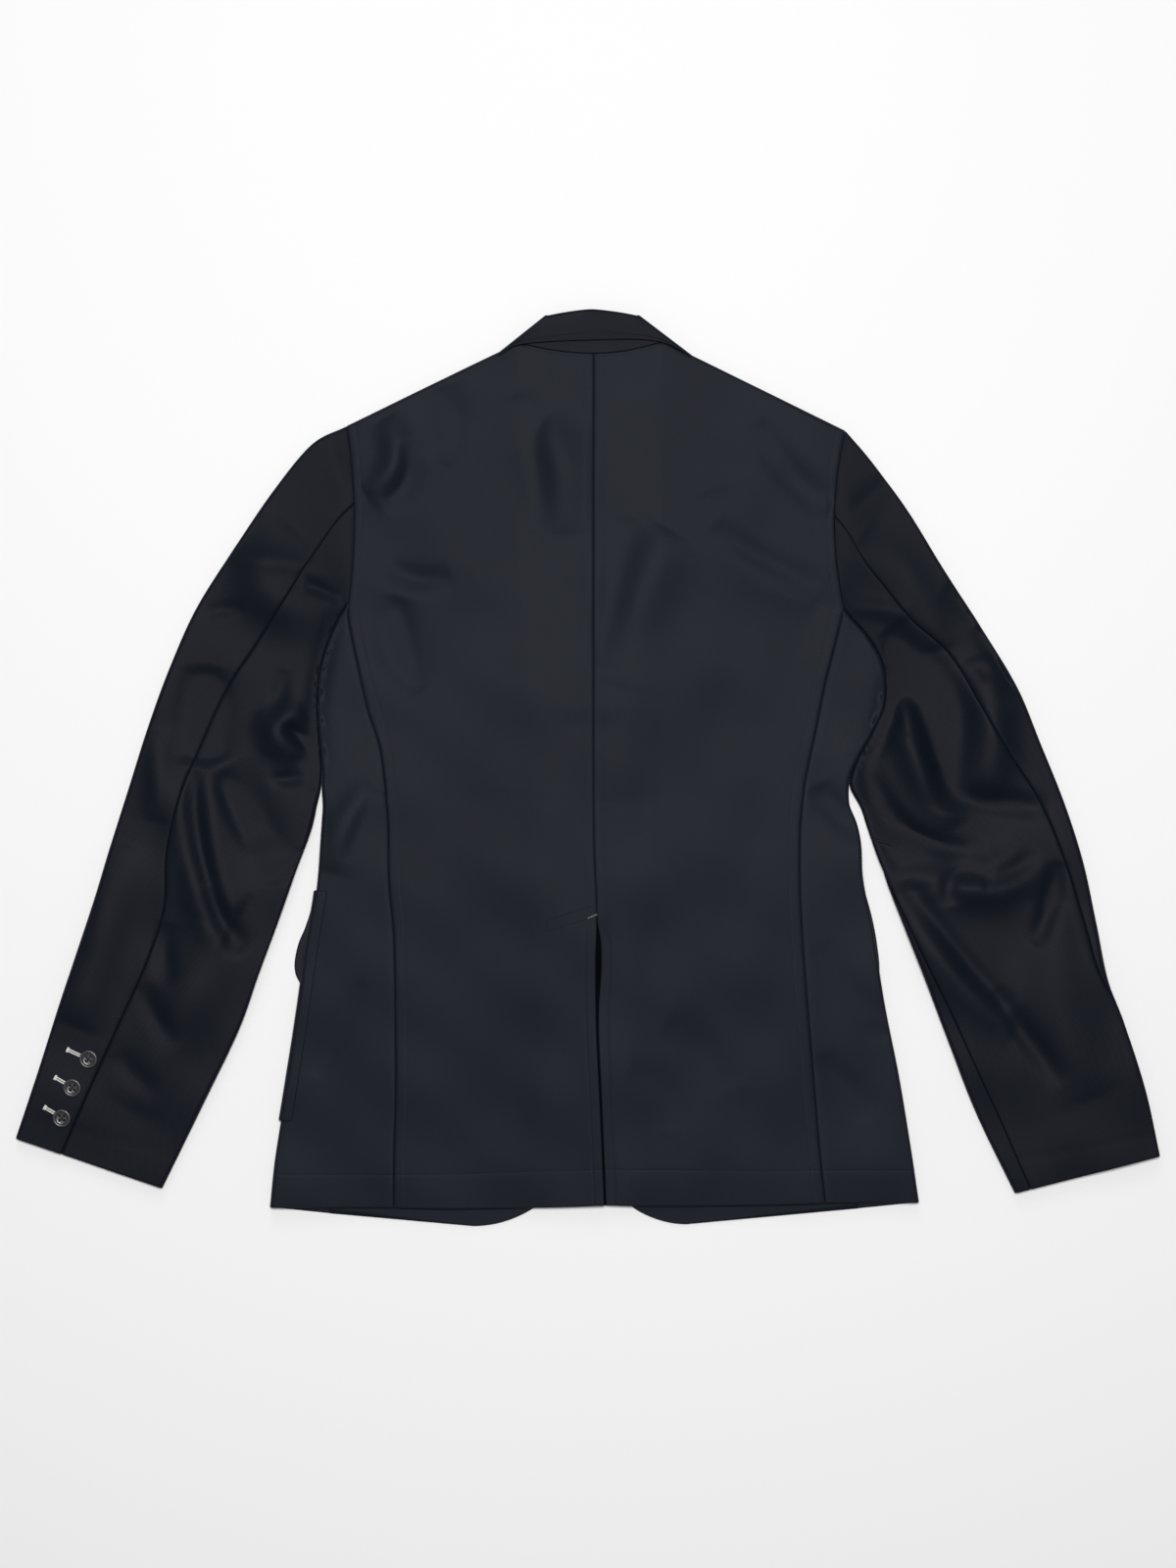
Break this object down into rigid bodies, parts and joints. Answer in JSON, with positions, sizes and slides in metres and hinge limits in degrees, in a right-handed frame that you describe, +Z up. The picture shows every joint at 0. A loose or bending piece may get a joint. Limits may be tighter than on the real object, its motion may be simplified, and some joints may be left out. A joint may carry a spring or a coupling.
{
  "type": "sport coat laid flat, back up",
  "caption": "Single-breasted sport coat lying flat on its front, back up, sleeves spread, with folded collar, centre vent, flap pockets and buttoned cuffs.",
  "frame": {"origin": "centre of the laid-out coat's outline, on the surface that it lies on", "axes": "+X to the right as the back is seen, +Y up to the collar, +Z up from the surface"},
  "size_m": [0.9351, 0.7489, 0.0114],
  "materials": {
    "shell_cloth": "fine smooth navy-black twill with a soft low sheen",
    "button": "polished black four-hole button with a raised rim",
    "thread_dark": "tone-on-tone sewing thread",
    "thread_light": "off-white buttonhole thread"
  },
  "bodies": {
    "root": {"back_left": "shell_cloth", "back_right": "shell_cloth", "side_left": "shell_cloth", "side_right": "shell_cloth", "front_left": "shell_cloth", "front_right": "shell_cloth", "lapel_left": "shell_cloth", "lapel_right": "shell_cloth", "sleeve_left_upper": "shell_cloth", "sleeve_left_under": "shell_cloth", "sleeve_right_upper": "shell_cloth", "sleeve_right_under": "shell_cloth", "collar_fall": "shell_cloth", "collar_stand": "shell_cloth", "pocket_left": "shell_cloth", "pocket_right": "shell_cloth", "flap_left": "shell_cloth", "flap_right": "shell_cloth", "vent_underlap": "shell_cloth", "left_cuff_button_1": "button", "left_cuff_button_2": "button", "left_cuff_button_3": "button", "front_button_1": "button", "front_button_2": "button", "right_cuff_button_1": "button", "right_cuff_button_2": "button", "right_cuff_button_3": "button"}
  },
  "joints": []
}
